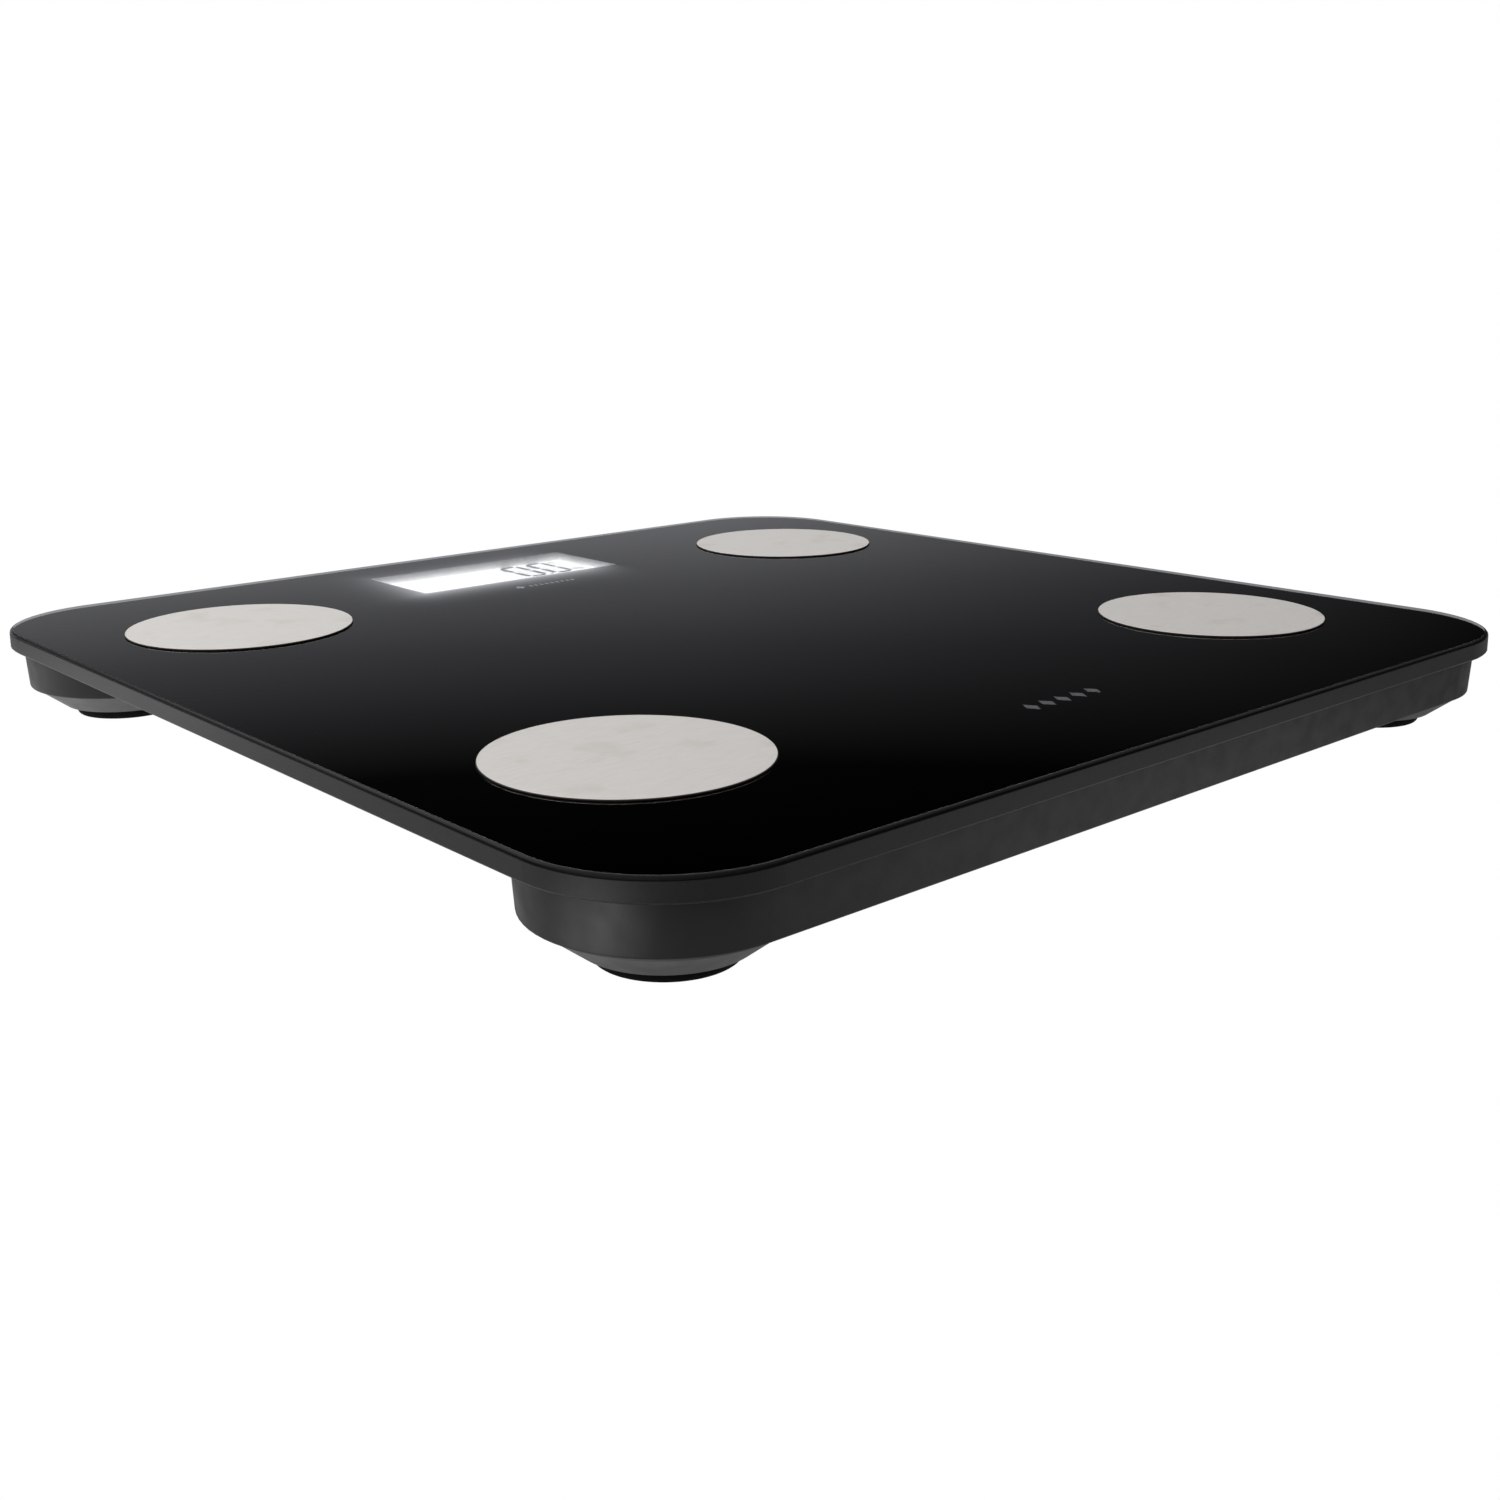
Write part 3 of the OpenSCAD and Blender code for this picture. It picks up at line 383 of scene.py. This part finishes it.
MATERIALS = {
    "clear_glass": clear_glass(),
    "black_print": black_print(),
    "adhesive": moulded("adhesive", (0.030, 0.028, 0.026), 0.35, grain=0.8 * MM),
    "brass_lug": drawn_metal("brass_lug", (0.72, 0.55, 0.25), 0.30),
    "plated_steel": drawn_metal("plated_steel", (0.66, 0.67, 0.68), 0.28),
    "electrode_steel": electrode_steel(),
    "bar_plastic": moulded("bar_plastic", CHARCOAL, 0.42, mottle=0.04),
    "foam_tape": moulded("foam_tape", (0.008, 0.008, 0.008), 0.85, grain=0.25 * MM, depth=0.05 * MM),
    "collar_plastic": moulded("collar_plastic", (0.120, 0.121, 0.127), 0.42, grain=0.25 * MM),
    "cap_plastic": moulded("cap_plastic", (0.030, 0.030, 0.031), 0.5),
    "pad_rubber": pad_rubber(),
    "load_cell_steel": drawn_metal("load_cell_steel", (0.62, 0.63, 0.65), 0.34, stretch=(1, 30, 1)),
    "gauge_silicone": moulded("gauge_silicone", (0.80, 0.80, 0.76), 0.4, grain=1.2 * MM, depth=0.05 * MM),
    "white_plastic": frame_white(),
    "lcd_glass": lcd_glass(),
    "light_guide": moulded("light_guide", (0.86, 0.88, 0.90), 0.2, grain=0.5 * MM, transmission_weight=0.5),
    "lamp_board": moulded("lamp_board", (0.80, 0.72, 0.40), 0.35),
    "flex_film": moulded("flex_film", (0.62, 0.27, 0.06), 0.25, grain=0.5 * MM, depth=0.005 * MM),
    "board_green": board_green(),
    "chip_black": moulded("chip_black", (0.018, 0.018, 0.018), 0.55, grain=0.12 * MM),
    "shield_steel": drawn_metal("shield_steel", (0.76, 0.77, 0.78), 0.22),
    "capacitor_can": drawn_metal("capacitor_can", (0.80, 0.81, 0.82), 0.25, stretch=(1, 1, 20)),
    "ivory_plastic": moulded("ivory_plastic", (0.76, 0.71, 0.55), 0.42, mottle=0.03),
    "button_plastic": moulded("button_plastic", (0.055, 0.056, 0.060), 0.38, grain=0.2 * MM),
    "door_plastic": moulded("door_plastic", shade(CHARCOAL, 1.15), 0.5, grain=0.35 * MM, depth=0.02 * MM),
    "battery_sleeve": battery_sleeve(),
    "contact_steel": drawn_metal("contact_steel", (0.74, 0.73, 0.71), 0.25, stretch=(1, 1, 20)),
    "duct_plastic": moulded("duct_plastic", (0.018, 0.018, 0.019), 0.45),
    "lead_red": moulded("lead_red", (0.50, 0.022, 0.020), 0.38, grain=0.4 * MM, mottle=0.04),
    "lead_black": moulded("lead_black", (0.016, 0.016, 0.016), 0.38, grain=0.4 * MM),
    "lcd_ink": moulded("lcd_ink", (0.026, 0.022, 0.042), 0.4, grain=0.3 * MM, depth=0.001 * MM),
    "print_marks": print_marks(),
}

for part in frame["record"]["subparts"]:
    for surface in frame["nodes"][part["node"]].material_slots:
        surface.material = MATERIALS[part["material_slot"]]


# ---- Pieces drawn here ----


def flat_piece(name, outlines, low, high, slot, body="platform"):
    """Makes one piece of upright prisms, each on a convex outline of (x, y), from height low to high."""
    shape = bmesh.new()
    for outline in outlines:
        rings = [[shape.verts.new((x, y, z)) for x, y in outline] for z in (low, high)]
        shape.faces.new(rings[0][::-1])
        shape.faces.new(rings[1])
        for i, here in enumerate(rings[0]):
            after = (i + 1) % len(outline)
            shape.faces.new((here, rings[0][after], rings[1][after], rings[1][i]))
    bmesh.ops.recalc_face_normals(shape, faces=shape.faces)
    mesh = bpy.data.meshes.new(name)
    shape.to_mesh(mesh)
    shape.free()
    mesh.materials.append(MATERIALS[slot])
    piece = bpy.data.objects.new(name, mesh)
    bpy.context.scene.collection.objects.link(piece)
    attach(piece, body)
    return piece


def bar(start, end, width, point=0.0):
    """A straight stroke from start to end, whose ends narrow to points that long."""
    start, end = Vector(start), Vector(end)
    along = (end - start).normalized()
    side = Vector((-along.y, along.x)) * width / 2
    inset = along * point
    corners = [start, start + inset - side, end - inset - side, end, end - inset + side, start + inset + side]
    return [tuple(c) for c in (corners if point else corners[1:3] + corners[4:])]


def arc_bars(centre, radius, width, first, last, steps):
    """A curved stroke, as short straight ones from angle first to last, in degrees."""
    strokes = []
    for i in range(steps):
        quad = []
        for r, angles in ((radius - width / 2, (i, i + 1)), (radius + width / 2, (i + 1, i))):
            for k in angles:
                a = math.radians(first + (last - first) * k / steps)
                quad.append((centre[0] + r * math.cos(a), centre[1] + r * math.sin(a)))
        strokes.append(quad)
    return strokes


def disc(centre, radius, sides=24):
    angles = [math.tau * i / sides for i in range(sides)]
    return [(centre[0] + radius * math.cos(a), centre[1] + radius * math.sin(a)) for a in angles]


def zero_digit(x, y, width, height, stroke):
    """The six lit segments of a seven-segment 0, whose lower left corner is at (x, y)."""
    gap = 0.25 * stroke
    left, right, low, middle, high = x, x + width, y, y + height / 2, y + height
    halves = ((low, middle), (middle, high))
    uprights = [((u, v0 + gap), (u, v1 - gap)) for u in (left, right) for v0, v1 in halves]
    levels = [((left + gap, v), (right - gap, v)) for v in (low, high)]
    return [bar(a, b, stroke, point=stroke / 2) for a, b in uprights + levels]


DIGIT_X = (12.6 * MM, 23.0 * MM)
DIGIT_Y = 113.4 * MM
DIGIT_SIZE = (6.3 * MM, 18.4 * MM)
DIGIT_STROKE = 1.75 * MM
POINT_GAP = 2.1 * MM
POINT_RADIUS = 0.6 * MM
INK = 0.03 * MM

segments = [s for x in DIGIT_X for s in zero_digit(x, DIGIT_Y, *DIGIT_SIZE, DIGIT_STROKE)]
segments.append(disc((DIGIT_X[0] + DIGIT_SIZE[0] + POINT_GAP, DIGIT_Y), POINT_RADIUS))
flat_piece("display_digits", segments, LCD_HIGH.z, LCD_HIGH.z + INK, "lcd_ink")


def display_signs():
    """The small signs beside the digits: a ring and a bar above, the unit kg below."""
    x, y, pen = 31.4 * MM, 114.6 * MM, 0.28 * MM
    tall = 2.8 * MM
    strokes = [bar((x, y), (x, y + tall), pen), bar((x, y + 0.9 * MM), (x + 1.1 * MM, y + 1.9 * MM), pen),
               bar((x + 0.3 * MM, y + 1.1 * MM), (x + 1.2 * MM, y), pen)]
    bowl = (x + 2.4 * MM, y + 0.95 * MM)
    strokes += arc_bars(bowl, 0.75 * MM, pen, 0, 360, 14)
    strokes.append(bar((bowl[0] + 0.75 * MM, y + 1.7 * MM), (bowl[0] + 0.75 * MM, y - 0.5 * MM), pen))
    strokes += arc_bars((bowl[0], y - 0.5 * MM), 0.75 * MM, pen, -150, 0, 8)
    strokes += arc_bars((x + 0.8 * MM, y + 15.6 * MM), 0.8 * MM, pen, 0, 360, 14)
    strokes.append(bar((x + 0.8 * MM, y + 14.0 * MM), (x + 0.8 * MM, y + 12.6 * MM), pen))
    return strokes


flat_piece("display_signs", display_signs(), LCD_HIGH.z, LCD_HIGH.z + INK, "lcd_ink")


def lozenge(centre, width, height):
    x, y = centre
    return [(x - width / 2, y), (x, y - height / 2), (x + width / 2, y), (x, y + height / 2)]


def window_sign():
    """A lozenge and a row of equal ticks, printed below the window."""
    y = 86 * MM
    tick, tick_width, pitch, ticks = 1.9 * MM, 0.8 * MM, 1.95 * MM, 9
    strokes = [lozenge((-10.1 * MM, y), 3.2 * MM, 3.8 * MM)]
    for i in range(ticks):
        x = -6.2 * MM + i * pitch
        strokes.append(bar((x, y - tick / 2), (x, y + tick / 2), tick_width))
    return strokes


def front_sign():
    """A plain ornament near the front edge: a row of five lozenges."""
    x, y, pitch = 1.3 * MM, -112.2 * MM, 5.4 * MM
    return [lozenge((x + i * pitch, y), 3.4 * MM, 5.2 * MM) for i in range(-2, 3)]


# The marks are fired onto the glass before the black, so they lie just inside it
MARK_LOW = GLASS_LOW.z + 0.05 * MM
MARK_HIGH = GLASS_LOW.z + 0.08 * MM
for name, strokes in (("window_mark", window_sign()), ("front_mark", front_sign())):
    flat_piece(name, strokes, MARK_LOW, MARK_HIGH, "print_marks")


def door_arrow():
    """A raised arrow on the battery door, pointing the way it slides."""
    low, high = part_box("battery_door")
    y = (low.y + high.y) / 2
    tip = low.x + 15 * MM
    head, head_half = 5 * MM, 3.5 * MM
    arrowhead = [(tip, y), (tip + head, y - head_half), (tip + head, y + head_half)]
    return [arrowhead, bar((tip + head - 0.1 * MM, y), (tip + 11 * MM, y), 2.4 * MM)]


# The arrow stands proud of the door's lower face, and its root is just inside the door
DOOR_THICKNESS = 1.6 * MM
ARROW_PROUD = 0.25 * MM
ARROW_ROOT = 0.05 * MM

door_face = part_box("battery_door")[1].z - DOOR_THICKNESS
flat_piece("door_arrow", door_arrow(), door_face - ARROW_PROUD, door_face + ARROW_ROOT,
           "door_plastic", "battery_cover")


# ---- Floor, light and camera ----


# The floor's soft glows: a centre (x, y), a brightness, and the radii it starts to fade and ends at. The
# first two light the scale from below, the third its left side, and the last draws a highlight down the front
# bar's left end
GLOWS = (
    ((0.0, 0.0), 0.50, 130 * MM, 240 * MM),
    ((0.0, 0.0), 0.90, 60 * MM, 140 * MM),
    ((-220 * MM, 150 * MM), 0.85, 20 * MM, 130 * MM),
    ((-178 * MM, -133 * MM), 2.0, 8 * MM, 32 * MM),
)


FLOOR_RADIUS = 30.0


def floor():
    """A wide white table. It glows softly under the scale, and can be seen through from below."""
    shape = bmesh.new()
    bmesh.ops.create_circle(shape, cap_ends=True, segments=64, radius=FLOOR_RADIUS)
    mesh = bpy.data.meshes.new("floor")
    shape.to_mesh(mesh)
    shape.free()
    s = Shader("floor", base_color=(0.18, 0.18, 0.18), roughness=0.9, specular_ior_level=0.0)
    total = 0.0
    for (x, y), brightness, start, end in GLOWS:
        away = s.node("ShaderNodeVectorMath", operation="DISTANCE")
        s.links.new(s.place, away.inputs[0])
        away.inputs[1].default_value = (x, y, 0.0)
        total = s.math("ADD", total, s.spread(away.outputs["Value"], brightness, 0.0, start, end))
    s.set(emission_color=(1.0, 1.0, 1.0), emission_strength=total)
    white = s.node("ShaderNodeEmission")
    clear = s.node("ShaderNodeBsdfTransparent")
    seen = s.node("ShaderNodeLightPath").outputs["Is Camera Ray"]
    back = s.node("ShaderNodeNewGeometry").outputs["Backfacing"]
    shader = s.principled.outputs[0]
    for factor, other in ((seen, white), (back, clear)):
        mix = s.node("ShaderNodeMixShader")
        for socket, source in zip(mix.inputs, (factor, shader, other.outputs[0])):
            s.links.new(source, socket)
        shader = mix.outputs[0]
    s.links.new(shader, s.nodes["Material Output"].inputs["Surface"])
    mesh.materials.append(s.material)
    made = bpy.data.objects.new("floor", mesh)
    bpy.context.scene.collection.objects.link(made)


# The studio's light by the sine of the elevation: pale at the horizon and fading up to a dark band, then a
# soft box overhead. Each layer also changes with the cosine of the angle to LIGHT_SIDE, and has a colour
LIGHT_SIDE = (-0.766, 0.643, 0.0)
HORIZON = (
    ((0.0, 0.75), (0.06, 0.55), (0.10, 0.40), (0.148, 0.283), (0.182, 0.165), (0.216, 0.09), (0.25, 0.045),
     (0.285, 0.006), (0.36, 0.0)),
    ((-0.42, 0.06), (-0.18, 0.55), (0.0, 1.0), (1.0, 2.35)),
    (0.97, 0.985, 1.045),
)
SOFT_BOX = (
    ((0.36, 0.0), (0.52, 1.56)),
    ((-1.0, 0.25), (-0.4, 0.64), (0.0, 1.0), (1.0, 2.35)),
    (1.0, 0.985, 0.965),
)


def studio():
    """Soft light from all round, stronger from the left and behind, in front of a white backdrop."""
    world = bpy.data.worlds.new("studio")
    bpy.context.scene.world = world
    world.use_nodes = True
    nodes, links = world.node_tree.nodes, world.node_tree.links
    nodes.clear()

    def joined(kind, *sources):
        """A node with the sources linked to its inputs, in their order."""
        made = nodes.new(kind)
        for socket, source in zip(made.inputs, sources):
            links.new(source, socket)
        return made

    def gradient(source, stops, brightest):
        """A ramp through (place, level) stops, with levels as shares of the brightest."""
        made = joined("ShaderNodeValToRGB", source)
        elements = made.color_ramp.elements
        while len(elements) < len(stops):
            elements.new(0.5)
        for element, (place, level) in zip(elements, stops):
            element.position = place
            element.color = (*[level / brightest] * 3, 1)
        return made.outputs[0]

    direction = nodes.new("ShaderNodeTexCoord").outputs["Generated"]
    height = joined("ShaderNodeSeparateXYZ", direction).outputs["Z"]
    side = joined("ShaderNodeVectorMath", direction)
    side.operation = "DOT_PRODUCT"
    side.inputs[1].default_value = LIGHT_SIDE
    turn = joined("ShaderNodeMath", side.outputs["Value"])
    turn.operation = "MULTIPLY_ADD"
    turn.inputs[1].default_value = 0.5
    turn.inputs[2].default_value = 0.5

    layers = []
    for heights, sides, colour in (HORIZON, SOFT_BOX):
        brightest = [max(level for _, level in stops) for stops in (heights, sides)]
        turned = [(0.5 + cosine / 2, level) for cosine, level in sides]
        product = joined("ShaderNodeMath", gradient(height, heights, brightest[0]),
                         gradient(turn.outputs[0], turned, brightest[1]))
        product.operation = "MULTIPLY"
        strength = joined("ShaderNodeMath", product.outputs[0])
        strength.operation = "MULTIPLY"
        strength.inputs[1].default_value = brightest[0] * brightest[1]
        layer = nodes.new("ShaderNodeBackground")
        layer.inputs["Color"].default_value = (*colour, 1)
        links.new(strength.outputs[0], layer.inputs["Strength"])
        layers.append(layer.outputs[0])

    backdrop = nodes.new("ShaderNodeBackground")
    backdrop.inputs["Color"].default_value = (1, 1, 1, 1)
    seen = nodes.new("ShaderNodeLightPath").outputs["Is Camera Ray"]
    light = joined("ShaderNodeAddShader", *layers).outputs[0]
    whole = joined("ShaderNodeMixShader", seen, light, backdrop.outputs[0])
    joined("ShaderNodeOutputWorld", whole.outputs[0])


# The camera stands beyond the front left corner, a little above the glass. Angles are in degrees
AZIMUTH = -40.997
ELEVATION = 11.783
ROLL = 0.637
DISTANCE = 469.812 * MM
LENS = 41.369
SENSOR = 36.0
SHIFT = (0.0131, -0.0856)
CLIP = (0.01, 100.0)


def camera():
    data = bpy.data.cameras.new("camera")
    data.sensor_width = SENSOR
    data.lens = LENS
    data.shift_x, data.shift_y = SHIFT
    data.clip_start, data.clip_end = CLIP
    azimuth, elevation = math.radians(AZIMUTH), math.radians(ELEVATION)
    back = Vector((math.sin(azimuth) * math.cos(elevation), -math.cos(azimuth) * math.cos(elevation),
                   math.sin(elevation)))
    turn = (-back).to_track_quat("-Z", "Y").to_matrix() @ Matrix.Rotation(math.radians(-ROLL), 3, "Z")
    made = bpy.data.objects.new("camera", data)
    made.matrix_world = Matrix.Translation(Vector((0, 0, GLASS_HIGH.z)) + back * DISTANCE) @ turn.to_4x4()
    bpy.context.scene.collection.objects.link(made)
    bpy.context.scene.camera = made


floor()
studio()
camera()
bpy.context.scene.view_settings.view_transform = "Standard"
